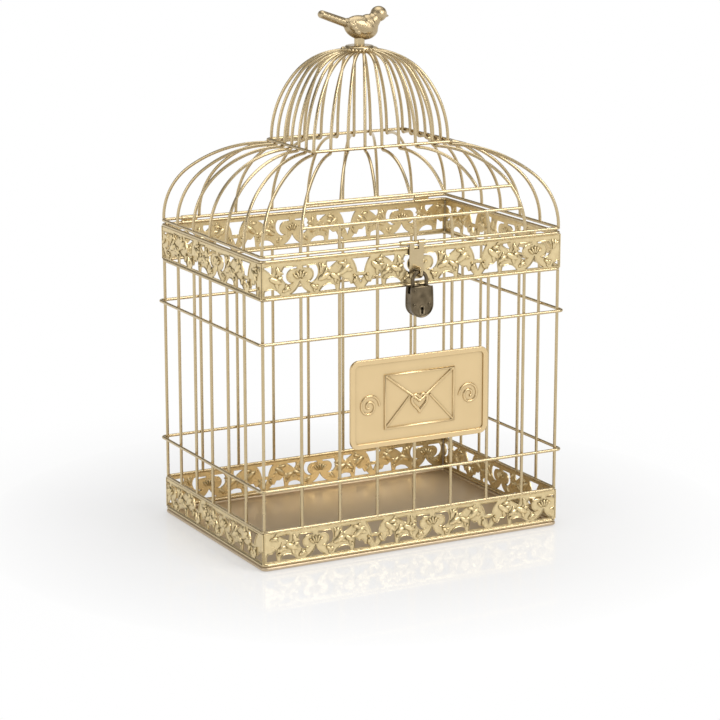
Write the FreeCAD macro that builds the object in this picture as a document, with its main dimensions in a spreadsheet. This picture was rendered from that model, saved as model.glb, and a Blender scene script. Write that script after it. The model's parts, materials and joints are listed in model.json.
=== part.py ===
import FreeCAD, Part
import math
import os
import Sketcher

# A wire birdcage box for cards, with a hinged domed lid, lace bands, a plaque, a hasp and a padlock.
# Millimetres. X runs along the front, the front faces -Y, Z is up, and the origin is under the middle.

SIZES = [
    ("body_width", 254, "left wall to right wall, between wire centres"),
    ("body_depth", 176, "front wall to back wall, between wire centres"),
    ("wire_dia", 2.4, "every cage and lid wire"),
    ("wire_bend", 3.5, "corner radius of the bent loops, on the wire's centre line"),
    ("front_gaps", 8, "gaps between bars along the front and back"),
    ("side_gaps", 6, "gaps between bars along the sides"),
    ("pan_sheet", 0.8, "floor sheet"),
    ("pan_edge_dia", 3, "rolled edge of the floor pan"),
    ("base_band", 25.4, "between the two wires of the base band"),
    ("wall_rise", 175.3, "base band to top band"),
    ("lower_ring_rise", 32.1, "lower ring above the base band"),
    ("upper_ring_rise", 142.6, "upper ring above the base band"),
    ("top_band", 27.9, "between the two wires of the top band"),
    ("lid_lift", 3.6, "lid frame above the body's rim"),
    ("lace_sheet", 0.6, "stamped lace strip"),
    ("lace_pitch", 100, "repeat of the lace pattern"),
    ("lace_end_gap", 0.4, "lace strip short of the corner"),
    ("lace_end_rim", 1.5, "plain metal kept at a strip's ends"),
    ("plaque_width", 118, "plaque"),
    ("plaque_height", 68, "plaque"),
    ("plaque_sheet", 1, "plaque"),
    ("plaque_corner", 7, "plaque"),
    ("plaque_border", 4, "width of the raised border"),
    ("plaque_border_rise", 1.2, "height of the raised border"),
    ("plaque_border_round", 0.5, "rounding of the raised border"),
    ("plaque_level", 118, "plaque's middle above the floor"),
    ("plaque_shift", 3, "plaque's middle right of the box's middle"),
    ("shoulder_rise", 62.5, "lid frame to the bend at the neck"),
    ("neck_width", 120.6, "neck ring, between wire centres"),
    ("neck_depth", 76.9, "neck ring, between wire centres"),
    ("cupola_rise", 71.1, "bend at the neck to the crown"),
    ("neck_play", 0.1, "ribs clear of the neck ring that they bend round, and of the crown button"),
    ("slot_low_rise", 18.1, "lower wire of the card slot above the lid frame"),
    ("slot_high_rise", 34.7, "upper wire of the card slot above the lid frame"),
    ("slot_rib", 3, "rib, counted from the middle, that ends the card slot"),
    ("crown_gap", 0.15, "between neighbouring ribs at the crown"),
    ("crown_dome", 3, "crown button above its ribs"),
    ("crown_rim", 0.5, "crown button's cap over the rib ends"),
    ("crown_round", 2.8, "rounding of the crown button"),
    ("post_dia", 8, "bird's post"),
    ("post_rise", 5.5, "bird's post above the crown button"),
    ("post_sink", 2, "bird's post inside the bird"),
    ("bird_length", 57.4, "tail tip to beak tip"),
    ("bird_height", 24.8, "belly to crown of the head"),
    ("bird_width", 15, "across the wings"),
    ("bird_tail_reach", 32, "tail tip behind the post"),
    ("strap_sheet", 0.8, "sheet of the hinge straps and the hasp"),
    ("running_fit", 0.05, "radial play of a wire or pin that turns"),
    ("hinge_length", 13, "hinge strap along the wire"),
    ("hinge_side_gap", 1, "hinge strap beside its rib"),
    ("hasp_left", 13, "hasp's barrel left of the middle"),
    ("hasp_right", 8, "hasp's barrel right of the middle"),
    ("hasp_split", 0.9, "hasp's barrel clear of the middle rib, each side"),
    ("hasp_split_drop", 4.5, "bottom of the barrel's split below the lid wire"),
    ("hasp_width", 12, "hasp's strap"),
    ("hasp_drop", 26.9, "hasp's end below the lid wire"),
    ("hasp_corner", 3, "rounding of the hasp's end"),
    ("hasp_gap", 0.3, "hasp in front of the rim wire"),
    ("lock_drop", 21.3, "top of the shackle below the lid wire"),
    ("lock_stand", 6.6, "shackle in front of the lid wire"),
    ("eye_dia", 2.2, "wire of the lock eye"),
    ("eye_play", 0.4, "lock eye round the shackle"),
    ("shackle_dia", 2.8, "padlock shackle"),
    ("shackle_width", 11.6, "between the shackle's leg centres"),
    ("shackle_rise", 13.7, "pivot pin to the top of the shackle"),
    ("shackle_toe", 1.6, "free leg's end below the pivot pin"),
    ("shackle_eye_dia", 4, "eye of the shackle's pivot leg"),
    ("shackle_eye_depth", 2.2, "eye of the shackle's pivot leg, front to back"),
    ("pin_dia", 1.4, "pivot pin"),
    ("pin_level", 3.2, "pivot pin below the top of the case"),
    ("case_width", 18.2, "padlock case at its widest"),
    ("case_top_width", 17.2, "padlock case at its top"),
    ("case_height", 22.6, "padlock case"),
    ("case_depth", 8, "padlock case, front to back"),
    ("case_wall", 1.2, "plates and rim of the padlock case"),
    ("leg_play", 0.4, "case clear of the shackle's legs"),
    ("leg_swing_play", 0.8, "extra room inside the free leg for its swing"),
    ("rivet_dia", 1.6, "case rivets"),
    ("rivet_spread", 12.6, "between the case rivets"),
    ("bolt_length", 3.6, "latch bolt"),
    ("bolt_width", 3, "latch bolt"),
    ("bolt_draw", 1.3, "drawn latch bolt short of the free leg"),
    ("spring_length", 2.6, "leaf spring behind the latch bolt"),
    ("spring_sheet", 0.3, "leaf spring"),
    ("keyhole_dia", 3.2, "round part of the keyhole"),
    ("keyhole_drop", 4.4, "keyhole's slit below its round part"),
    ("keyhole_slit", 1.9, "width of the keyhole's slit"),
    ("keyhole_level", 6.4, "round part of the keyhole above the case's bottom"),
    ("keyhole_plate_rise", 0.4, "raised plate round the keyhole"),
    ("keyhole_plate_rim", 0.7, "width of that plate round the keyhole"),
]

# Places on the box, as expressions of the sizes
HALF_WIDTH = "sizes.body_width / 2"
HALF_DEPTH = "sizes.body_depth / 2"
WIRE_RADIUS = "sizes.wire_dia / 2"
FRONT_PITCH = "sizes.body_width / sizes.front_gaps"
SIDE_PITCH = "sizes.body_depth / sizes.side_gaps"
CORNER_INSET = "sizes.wire_bend * (1 - sqrt(0.5))"
BASE_LOW = f"(sizes.pan_edge_dia + {WIRE_RADIUS})"
BASE_TOP = f"({BASE_LOW} + sizes.base_band)"
BAND = f"({BASE_TOP} + sizes.wall_rise)"
RIM = f"({BAND} + sizes.top_band)"
LID = f"({RIM} + sizes.lid_lift)"
SHOULDER = f"({LID} + sizes.shoulder_rise)"
NECK_BEND = "(sizes.wire_dia + sizes.neck_play)"
NECK = f"({SHOULDER} + {NECK_BEND})"
CROWN = f"({SHOULDER} + sizes.cupola_rise)"
RIB_COUNT = "(2 * sizes.front_gaps + 2 * sizes.side_gaps)"
CROWN_RADIUS = f"({RIB_COUNT} * (sizes.wire_dia + sizes.crown_gap) / (2 * pi))"
POST_FOOT = f"({CROWN} + {WIRE_RADIUS} + sizes.crown_dome)"
BELLY = f"({POST_FOOT} + sizes.post_rise - sizes.post_sink)"
BARREL_BORE = f"({WIRE_RADIUS} + sizes.running_fit)"
BARREL_RADIUS = f"({BARREL_BORE} + sizes.strap_sheet)"
HASP_BACK = f"({HALF_DEPTH} + {WIRE_RADIUS} + sizes.hasp_gap)"
LOCK_PLANE = f"({HALF_DEPTH} + sizes.lock_stand)"
SHACKLE_TOP = f"({LID} - sizes.lock_drop)"
SHACKLE_ARCH = f"({SHACKLE_TOP} - sizes.shackle_width / 2)"
EYE_BEND = "(sizes.shackle_dia / 2 + sizes.eye_play + sizes.eye_dia / 2)"
PIN = f"({SHACKLE_TOP} - sizes.shackle_rise)"
CASE_TOP = f"({PIN} + sizes.pin_level)"
CASE_BOTTOM = f"({CASE_TOP} - sizes.case_height)"
CASE_MIDDLE = f"({CASE_BOTTOM} + sizes.case_width / 2)"
LEG_ROOM = "(sizes.shackle_dia / 2 + sizes.leg_play)"
KEYHOLE = f"({CASE_BOTTOM} + sizes.keyhole_level)"

# The lace pattern's holes, from the middle of a shell (0) to the middle of the next cup (50) and up the
# strip (0 to 25). A pair of numbers is a straight run to that point, two pairs are an arc through a point.
PATTERN_HALF = 50
PATTERN_HEIGHT = 25
SHELL_SLIT = [(2.4, 21.2), (13.0, 21.4), ((15.0, 14.6), (9.2, 8.2)), (5.6, 9.4),
              ((10.8, 14.8), (7.2, 19.2)), (2.4, 19.6)]
LEAF_SLIT = [(22.0, 22.6), (30.6, 22.2), ((27.0, 19.6), (23.6, 16.8)), ((21.6, 19.8), (22.0, 22.6))]
LOW_ARCH = [(15.8, 1.4), (29.4, 1.4), (28.8, 4.8), ((22.6, 6.2), (15.8, 1.4))]
LEAF_STAR = [(32.2, 1.4), (46.6, 1.4), (43.8, 4.8), (41.8, 4.6), (39.8, 8.2), (36.8, 8.0), (33.4, 10.6)]
SHELL_FOOT = [(-8.0, 1.4), (8.0, 1.4), ((2.8, 5.2), (0.0, 10.2)), ((-2.8, 5.2), (-8.0, 1.4))]
CUP = [(42.4, 22.8), (57.6, 22.8), ((54.6, 17.6), (53.2, 12.4)), (46.8, 12.4), ((45.4, 17.6), (42.4, 22.8))]
CUP_DROP = [(47.6, 10.0), (52.4, 10.0), ((51.4, 7.2), (50.0, 4.2)), ((48.6, 7.2), (47.6, 10.0))]
MIRRORED_HOLES = [SHELL_SLIT, LEAF_SLIT, LOW_ARCH, LEAF_STAR]
CENTRED_HOLES = [SHELL_FOOT, CUP, CUP_DROP]

# How far a shell's middle lies right of the strip's middle, as a share of the repeat
LACE_SHIFTS = {
    "base": {"front": 0.16, "back": -0.10, "left": 0.20, "right": -0.06},
    "top": {"front": 0.04, "back": 0.14, "left": 0.13, "right": -0.08},
}

# Sections of the bird from tail tip to beak tip: place along it, low edge, high edge and width, as shares
BIRD_SECTIONS = [
    (0.000, 0.80, 0.86, 0.20),
    (0.050, 0.72, 0.91, 0.34),
    (0.175, 0.54, 0.83, 0.32),
    (0.305, 0.44, 0.69, 0.46),
    (0.400, 0.14, 0.68, 0.80),
    (0.505, 0.01, 0.73, 1.00),
    (0.625, 0.00, 0.75, 1.00),
    (0.705, 0.08, 0.80, 0.88),
    (0.765, 0.20, 0.94, 0.80),
    (0.845, 0.46, 1.00, 0.76),
    (0.915, 0.54, 0.92, 0.56),
    (0.960, 0.60, 0.82, 0.28),
    (1.000, 0.66, 0.70, 0.06),
]
BIRD_SECTION_POINTS = 8

# Two points this close, in millimetres, are the same point
NEAR = 1e-4

doc = FreeCAD.newDocument("card_box")
sheet = doc.addObject("Spreadsheet::Sheet", "sizes")
for row, (alias, value, note) in enumerate(SIZES, start=1):
    sheet.set(f"A{row}", str(value))
    sheet.setAlias(f"A{row}", alias)
    sheet.set(f"B{row}", note)
doc.recompute()

parts = []


def number(expression):
    """The value of an expression of the sheet's sizes."""
    return float(sheet.evalExpression(expression))


def keep(part, name):
    """Names a finished sub-part and lists it for writing."""
    part.Label = name
    parts.append(part)
    return part


# Sketches and features whose sizes follow the sheet

def add_body(name):
    body = doc.addObject("PartDesign::Body", name + "_body")
    body.AllowCompound = True
    return keep(body, name)


def add_sketch(body, role, offset=None, right=None, up=None):
    """A sketch on one of the body's own origin planes, moved off it and along it by expressions."""
    sketch = body.newObject("Sketcher::SketchObject", "sketch")
    plane = next(feature for feature in body.Origin.OriginFeatures if feature.Role == role)
    sketch.AttachmentSupport = [(plane, "")]
    sketch.MapMode = "FlatFace"
    for axis, expression in (("x", right), ("y", up), ("z", offset)):
        if expression:
            sketch.setExpression(f"AttachmentOffset.Base.{axis}", expression)
    return sketch


def bind(sketch, kind, elements, expression):
    """A dimension of the sketch that follows an expression."""
    index = sketch.addConstraint(Sketcher.Constraint(kind, *elements, number(expression)))
    sketch.setExpression(f"Constraints[{index}]", expression)


def place_point(sketch, element, point, across, up):
    """Holds a point of the sketch at two expressions. A None lies on the axis."""
    for kind, expression, axis in (("DistanceX", across, -2), ("DistanceY", up, -1)):
        if expression is None:
            sketch.addConstraint(Sketcher.Constraint("PointOnObject", element, point, axis))
        else:
            bind(sketch, kind, (-1, 1, element, point), expression)


def flat(across, up):
    return FreeCAD.Vector(number(across or "0"), number(up or "0"), 0)


def add_circle(sketch, across, up, radius):
    circle = Part.Circle(flat(across, up), FreeCAD.Vector(0, 0, 1), number(radius))
    element = sketch.addGeometry(circle, False)
    bind(sketch, "Radius", (element,), radius)
    place_point(sketch, element, 3, across, up)


def add_outline(sketch, corners):
    """A closed outline of straight lines through corners given as expressions."""
    ends = corners[1:] + corners[:1]
    lines = [Part.LineSegment(flat(*start), flat(*end)) for start, end in zip(corners, ends)]
    elements = sketch.addGeometry(lines, False)
    following = elements[1:] + elements[:1]
    for element, after in zip(elements, following):
        sketch.addConstraint(Sketcher.Constraint("Coincident", element, 2, after, 1))
    for element, corner in zip(elements, corners):
        place_point(sketch, element, 1, *corner)


def add_box_outline(sketch, left, right, low, high):
    add_outline(sketch, [(left, low), (right, low), (right, high), (left, high)])


def arc_of(across, up, radius, start, end):
    circle = Part.Circle(FreeCAD.Vector(across, up, 0), FreeCAD.Vector(0, 0, 1), radius)
    return Part.ArcOfCircle(circle, start, end)


def add_rounded_outline(sketch, half_width, half_height, corner):
    """A rectangle round the sketch's origin with rounded corners."""
    width = number(half_width)
    height = number(half_height)
    radius = number(corner)
    quarter = math.pi / 2
    turns = [(1, -1, -quarter), (1, 1, 0), (-1, 1, quarter), (-1, -1, 2 * quarter)]
    first = sketch.GeometryCount
    for index, (side, level, start) in enumerate(turns):
        arc = arc_of(side * (width - radius), level * (height - radius), radius, start, start + quarter)
        before = turns[index - 1]
        arc_before = arc_of(before[0] * (width - radius), before[1] * (height - radius), radius,
                            before[2], before[2] + quarter)
        sketch.addGeometry(Part.LineSegment(arc_before.EndPoint, arc.StartPoint), False)
        sketch.addGeometry(arc, False)
    edge_count = 2 * len(turns)
    for step in range(edge_count):
        ends = (first + step, 2, first + (step + 1) % edge_count, 1)
        sketch.addConstraint(Sketcher.Constraint("Tangent", *ends))
    low, right, high, left = (first + step for step in (0, 2, 4, 6))
    for kind, element in (("Horizontal", low), ("Vertical", right), ("Horizontal", high), ("Vertical", left)):
        sketch.addConstraint(Sketcher.Constraint(kind, element))
    for step in (3, 5, 7):
        sketch.addConstraint(Sketcher.Constraint("Equal", first + 1, first + step))
    bind(sketch, "Radius", (first + 1,), corner)
    bind(sketch, "DistanceX", (-1, 1, right, 1), half_width)
    bind(sketch, "DistanceX", (left, 1, -1, 1), half_width)
    bind(sketch, "DistanceY", (low, 1, -1, 1), half_height)
    bind(sketch, "DistanceY", (-1, 1, high, 1), half_height)


def pad(body, sketch, length, both_ways=False):
    feature = body.newObject("PartDesign::Pad", "pad")
    feature.Profile = sketch
    feature.Midplane = both_ways
    feature.setExpression("Length", length)
    body.Tip = feature
    doc.recompute()
    return feature


def pocket(body, sketch, length):
    """Cuts both ways from the sketch, and makes sure that something was cut."""
    before = body.Shape.Volume
    feature = body.newObject("PartDesign::Pocket", "pocket")
    feature.Profile = sketch
    feature.Midplane = True
    feature.setExpression("Length", length)
    body.Tip = feature
    doc.recompute()
    if body.Shape.Volume >= before:
        raise RuntimeError(f"{body.Label}: a pocket cut nothing")
    return feature


def pipe(body, profile, path):
    feature = body.newObject("PartDesign::AdditivePipe", "pipe")
    feature.Profile = profile
    feature.Spine = path
    body.Tip = feature
    doc.recompute()
    return feature


def fillet(body, radius, chosen):
    """Rounds the edges of the body's last feature that a test chooses."""
    base = body.Tip
    names = [f"Edge{index}" for index, edge in enumerate(base.Shape.Edges, start=1) if chosen(edge)]
    feature = body.newObject("PartDesign::Fillet", "fillet")
    feature.Base = (base, names)
    feature.setExpression("Radius", radius)
    body.Tip = feature
    doc.recompute()
    return feature


# Primitives and booleans whose sizes follow the sheet

AXES = {"x": FreeCAD.Vector(1, 0, 0), "y": FreeCAD.Vector(0, 1, 0), "z": FreeCAD.Vector(0, 0, 1)}


def put(part, place):
    for axis, expression in zip("xyz", place):
        part.setExpression(f"Placement.Base.{axis}", expression)
    return part


def cylinder(radius, length, place, axis):
    """A round bar that starts at a place and runs along an axis."""
    part = doc.addObject("Part::Cylinder", "cylinder")
    part.setExpression("Radius", radius)
    part.setExpression("Height", length)
    part.Placement.Rotation = FreeCAD.Rotation(AXES["z"], AXES[axis])
    return put(part, place)


def half_ring(bend, radius, place, turn):
    """Half a ring: its plane and opening come from a rotation of a ring in the XY plane."""
    part = doc.addObject("Part::Torus", "half_ring")
    part.setExpression("Radius1", bend)
    part.setExpression("Radius2", radius)
    part.Angle3 = 180
    part.Placement.Rotation = turn
    return put(part, place)


def box(size, place):
    part = doc.addObject("Part::Box", "box")
    for side, expression in zip(("Length", "Width", "Height"), size):
        part.setExpression(side, expression)
    return put(part, place)


def fuse(*pieces):
    part = doc.addObject("Part::MultiFuse", "fuse")
    part.Shapes = list(pieces)
    return part


def cut(base, tool):
    part = doc.addObject("Part::Cut", "cut")
    part.Base = base
    part.Tool = tool
    return part


# Cage: floor pan, wire loops and bars

def wire_loop(name, level, outset="0", half_width=HALF_WIDTH, half_depth=HALF_DEPTH):
    """A wire bent into a rectangle round the box."""
    body = add_body(name)
    path = add_sketch(body, "XY_Plane", level)
    add_rounded_outline(path, f"{half_width} + {outset}", f"{half_depth} + {outset}", "sizes.wire_bend")
    profile = add_sketch(body, "YZ_Plane")
    add_circle(profile, f"-({half_depth} + {outset})", level, WIRE_RADIUS)
    pipe(body, profile, path)
    return body


def base_pan():
    """The floor sheet, with its edge rolled up into a bead."""
    body = add_body("base_pan")
    floor = add_sketch(body, "XY_Plane")
    add_rounded_outline(floor, HALF_WIDTH, HALF_DEPTH, "sizes.wire_bend")
    pad(body, floor, "sizes.pan_sheet")
    path = add_sketch(body, "XY_Plane", "sizes.pan_edge_dia / 2")
    add_rounded_outline(path, HALF_WIDTH, HALF_DEPTH, "sizes.wire_bend")
    bead = add_sketch(body, "YZ_Plane")
    add_circle(bead, f"-{HALF_DEPTH}", "sizes.pan_edge_dia / 2", "sizes.pan_edge_dia / 2")
    pipe(body, bead, path)


def bar_row(name, wall, side):
    """The bars of one wall between its corners, with ends shaped to the wires that they are welded to."""
    body = add_body(name)
    feet = add_sketch(body, "XY_Plane", BASE_TOP)
    along_front = wall == "front"
    gaps = "sizes.front_gaps" if along_front else "sizes.side_gaps"
    pitch = FRONT_PITCH if along_front else SIDE_PITCH
    distance = f"{side} * {HALF_DEPTH}" if along_front else f"{side} * {HALF_WIDTH}"
    first = f"-({gaps} / 2 - 1) * {pitch}"
    add_circle(feet, *((first, distance) if along_front else (distance, first)), WIRE_RADIUS)
    bar = pad(body, feet, "sizes.wall_rise")
    row = body.newObject("PartDesign::LinearPattern", "row")
    row.Originals = [bar]
    row.Direction = (feet, ["H_Axis" if along_front else "V_Axis"])
    row.setExpression("Length", f"({gaps} - 2) * {pitch}")
    row.Occurrences = round(number(gaps)) - 1
    body.Tip = row
    doc.recompute()
    ends = add_sketch(body, "YZ_Plane" if along_front else "XZ_Plane")
    for level in (BASE_TOP, BAND):
        add_circle(ends, distance, level, WIRE_RADIUS)
    pocket(body, ends, "sizes.body_width" if along_front else "sizes.body_depth")


def corner_posts():
    """The four corner bars, on the bends of the loops."""
    body = add_body("corner_posts")
    feet = add_sketch(body, "XY_Plane", f"{BASE_TOP} + {WIRE_RADIUS}")
    for side in (-1, 1):
        for end in (-1, 1):
            across = f"{side} * ({HALF_WIDTH} - {CORNER_INSET})"
            add_circle(feet, across, f"{end} * ({HALF_DEPTH} - {CORNER_INSET})", WIRE_RADIUS)
    pad(body, feet, "sizes.wall_rise - sizes.wire_dia")


# Lace strips

def hole_face(outline, middle, mirror, stretch, lift, low):
    """One hole of the pattern as a flat face, from its outline on the pattern's own grid."""
    def point(pair):
        return FreeCAD.Vector(middle + mirror * pair[0] * stretch, 0, low + pair[1] * lift)

    edges = []
    here = point(outline[0])
    for item in outline[1:] + outline[:1]:
        if isinstance(item[0], tuple):
            end = point(item[1])
            edges.append(Part.Arc(here, point(item[0]), end).toShape())
        else:
            end = point(item)
            if here.distanceToPoint(end) > NEAR:
                edges.append(Part.LineSegment(here, end).toShape())
        here = end
    return Part.Face(Part.Wire(edges))


def lace_strip(name, band, side, shift):
    """A stamped strip between the two wires of a band, on one side of the box."""
    levels = {"base": (BASE_LOW, BASE_TOP), "top": (BAND, RIM)}[band]
    low = number(levels[0]) + number(WIRE_RADIUS)
    high = number(levels[1]) - number(WIRE_RADIUS)
    along_front = side in ("front", "back")
    half_length = number(HALF_WIDTH if along_front else HALF_DEPTH) - number("sizes.lace_end_gap")
    sheet_half = number("sizes.lace_sheet") / 2
    pitch = number("sizes.lace_pitch")
    stretch = pitch / 2 / PATTERN_HALF
    lift = (high - low) / PATTERN_HEIGHT
    rim = half_length - number("sizes.lace_end_rim")
    corner = FreeCAD.Vector(-rim, 0, low)
    field = Part.makePlane(2 * rim, high - low, corner, FreeCAD.Vector(0, -1, 0), AXES["x"])
    holes = []
    reach = math.ceil(half_length / pitch) + 1
    for repeat in range(-reach, reach + 1):
        middle = (shift + repeat) * pitch
        drawn = [(outline, mirror) for outline in MIRRORED_HOLES for mirror in (-1, 1)]
        drawn += [(outline, 1) for outline in CENTRED_HOLES]
        for outline, mirror in drawn:
            face = hole_face(outline, middle, mirror, stretch, lift, low)
            if face.BoundBox.XMax > -rim and face.BoundBox.XMin < rim:
                inside = face.common(field)
                holes += [part.OuterWire for part in inside.Faces]
    start = FreeCAD.Vector(-half_length, -sheet_half, low)
    strip = Part.makeBox(2 * half_length, 2 * sheet_half, high - low, start)
    cuts = []
    for wire in holes:
        wire.translate(FreeCAD.Vector(0, -2 * sheet_half, 0))
        cuts.append(Part.Face(wire).extrude(FreeCAD.Vector(0, 4 * sheet_half, 0)))
    part = keep(doc.addObject("Part::Feature", name + "_strip"), name)
    part.Shape = strip.cut(Part.makeCompound(cuts))
    turns = {"front": 0, "right": 90, "back": 180, "left": 270}
    distance = number(HALF_DEPTH if along_front else HALF_WIDTH)
    rotation = FreeCAD.Rotation(AXES["z"], turns[side])
    part.Placement = FreeCAD.Placement(rotation.multVec(FreeCAD.Vector(0, -distance, 0)), rotation)


# Lid: ribs, card slot, crown and bird

def arch(foot, head):
    """Two arcs from a foot, leaving straight up, to a head, arriving level: a quarter of an oval."""
    run = math.hypot(head.x - foot.x, head.y - foot.y)
    rise = head.z - foot.z
    inward = FreeCAD.Vector(head.x - foot.x, head.y - foot.y, 0).normalize()
    diagonal = math.hypot(run, rise)
    foot_radius = (diagonal ** 2 - (run - rise) * diagonal) / (2 * run)
    head_radius = (diagonal ** 2 + (run - rise) * diagonal) / (2 * rise)
    foot_centre = foot + inward * foot_radius
    head_centre = head - AXES["z"] * head_radius
    outward = foot_centre - head_centre
    if foot_radius > head_radius:
        outward = -outward
    tight_centre = foot_centre if foot_radius <= head_radius else head_centre
    tight_radius = min(foot_radius, head_radius)
    meeting = tight_centre + outward.normalize() * tight_radius
    edges = []
    for start, end, centre in ((foot, meeting, foot_centre), (meeting, head, head_centre)):
        edges.append(round_edge(start, end, centre))
    return edges


def round_edge(start, end, centre):
    """The arc round a centre between two points less than half a turn apart."""
    radius = start.distanceToPoint(centre)
    middle = centre + (start + end - centre * 2).normalize() * radius
    return Part.Arc(start, middle, end).toShape()


def rib(foot, neck, crown):
    """One lid wire: over the shoulder, bent under and up inside the neck ring, and over to the crown."""
    bend = number(NECK_BEND)
    inward = FreeCAD.Vector(neck.x - foot.x, neck.y - foot.y, 0).normalize()
    shoulder_end = neck - inward * bend
    upright = neck + AXES["z"] * bend
    edges = arch(foot, shoulder_end)
    edges.append(round_edge(shoulder_end, upright, shoulder_end + AXES["z"] * bend))
    edges += arch(upright, crown)
    path = Part.Wire(edges)
    section = Part.Wire(Part.Circle(foot, AXES["z"], number(WIRE_RADIUS)).toShape())
    return path.makePipeShell([section], True, False)


def crown_end(neck, outward):
    """Where a rib's flat end touches the crown button, which it meets a little aslant."""
    hub = number(CROWN_RADIUS)
    radius = number(WIRE_RADIUS)
    arriving = FreeCAD.Vector(hub * outward.x - neck.x, hub * outward.y - neck.y, 0).normalize()
    slant = abs(arriving.x * outward.y - arriving.y * outward.x)
    reach = radius * slant + math.sqrt(hub ** 2 - radius ** 2 * (1 - slant ** 2)) + number("sizes.neck_play")
    return outward * reach + AXES["z"] * number(CROWN)


def rib_at(index):
    """The rib of one bar, counted round the lid from the middle of the front."""
    front = round(number("sizes.front_gaps"))
    side = round(number("sizes.side_gaps"))
    count = 2 * front + 2 * side
    half_width = number(HALF_WIDTH)
    half_depth = number(HALF_DEPTH)
    bend = number(NECK_BEND)
    inset = number(CORNER_INSET)
    step = (index + front // 2) % count
    if step <= front:
        across, along = 2 * step / front - 1, -1
    elif step < front + side:
        across, along = 1, 2 * (step - front) / side - 1
    elif step <= 2 * front + side:
        across, along = 1 - 2 * (step - front - side) / front, 1
    else:
        across, along = -1, 1 - 2 * (step - 2 * front - side) / side
    at_corner = abs(across) == 1 and abs(along) == 1
    corner = inset if at_corner else 0
    neck_inset = inset + bend * math.sqrt(0.5) if at_corner else bend
    neck_width = number("sizes.neck_width / 2") - neck_inset
    neck_depth = number("sizes.neck_depth / 2") - neck_inset
    foot_level = number(f"{LID} + {WIRE_RADIUS}")
    foot = FreeCAD.Vector(across * (half_width - corner), along * (half_depth - corner), foot_level)
    neck = FreeCAD.Vector(across * neck_width, along * neck_depth, number(SHOULDER))
    angle = 2 * math.pi * index / count
    outward = FreeCAD.Vector(math.sin(angle), -math.cos(angle), 0)
    return rib(foot, neck, crown_end(neck, outward))


def round_bar(start, end, radius):
    run = end - start
    return Part.makeCylinder(radius, run.Length, start, run)


def lid_ribs():
    """All ribs, with the card slot cut through the front ones."""
    front = round(number("sizes.front_gaps"))
    side = round(number("sizes.side_gaps"))
    corner_front = front // 2
    corner_back = corner_front + side
    count = 2 * front + 2 * side
    slot_rib = round(number("sizes.slot_rib"))
    radius = number(WIRE_RADIUS)
    ribs = {index: rib_at(index) for index in range(-corner_front, count - corner_front)}

    # The slot's wires lie in the slope of the ribs that end it
    end_rib = ribs[slot_rib]
    wires = {}
    for name, rise in (("slot_lower_wire", "slot_low_rise"), ("slot_upper_wire", "slot_high_rise")):
        level = number(f"{LID} + sizes.{rise}")
        slice_wire = end_rib.slice(AXES["z"], level)[0]
        place = slice_wire.BoundBox.Center
        start = FreeCAD.Vector(-place.x, place.y, level)
        end = FreeCAD.Vector(place.x, place.y, level)
        wires[name] = round_bar(start, end, radius)
    low = number(f"{LID} + sizes.slot_low_rise")
    corner = FreeCAD.Vector(-number(HALF_WIDTH), -number("sizes.body_depth"), low)
    opening_height = number("sizes.slot_high_rise - sizes.slot_low_rise")
    opening = Part.makeBox(number("sizes.body_width"), number("sizes.body_depth"), opening_height, corner)
    stubs = []
    for index in range(1 - slot_rib, slot_rib):
        pieces = ribs[index].cut(opening).cut(wires["slot_lower_wire"]).cut(wires["slot_upper_wire"]).Solids
        pieces.sort(key=lambda solid: solid.Volume)
        stubs.append(pieces[-2])
        ribs[index] = pieces[-1]
    for name, wire in wires.items():
        trimmed = wire.cut(ribs[-slot_rib]).cut(ribs[slot_rib])
        longest = max(trimmed.Solids, key=lambda solid: solid.Volume)
        keep(doc.addObject("Part::Feature", name + "_bar"), name).Shape = longest

    groups = {
        "lid_front_ribs": range(1 - corner_front, corner_front),
        "lid_right_ribs": range(corner_front + 1, corner_back),
        "lid_back_ribs": range(corner_back + 1, corner_back + front),
        "lid_left_ribs": range(corner_back + front + 1, count - corner_front),
        "lid_corner_ribs": (-corner_front, corner_front, corner_back, corner_back + front),
    }
    for name, indexes in groups.items():
        solids = [solid for index in indexes for solid in ribs[index].Solids]
        keep(doc.addObject("Part::Feature", name + "_wires"), name).Shape = Part.makeCompound(solids)
    stub_wires = keep(doc.addObject("Part::Feature", "lid_front_stubs_wires"), "lid_front_stubs")
    stub_wires.Shape = Part.makeCompound(stubs)


def crown_button():
    """The button that the rib ends are welded to: a hub, and a cap that covers the ends."""
    body = add_body("crown_button")
    hub = add_sketch(body, "XY_Plane", f"{CROWN} - {WIRE_RADIUS}")
    add_circle(hub, None, None, CROWN_RADIUS)
    pad(body, hub, "sizes.wire_dia")
    cap = add_sketch(body, "XY_Plane", f"{CROWN} + {WIRE_RADIUS}")
    add_circle(cap, None, None, f"{CROWN_RADIUS} + sizes.crown_rim")
    pad(body, cap, "sizes.crown_dome")
    top = number(POST_FOOT)
    fillet(body, "sizes.crown_round", lambda edge: abs(edge.BoundBox.ZMin - top) < NEAR)


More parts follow.
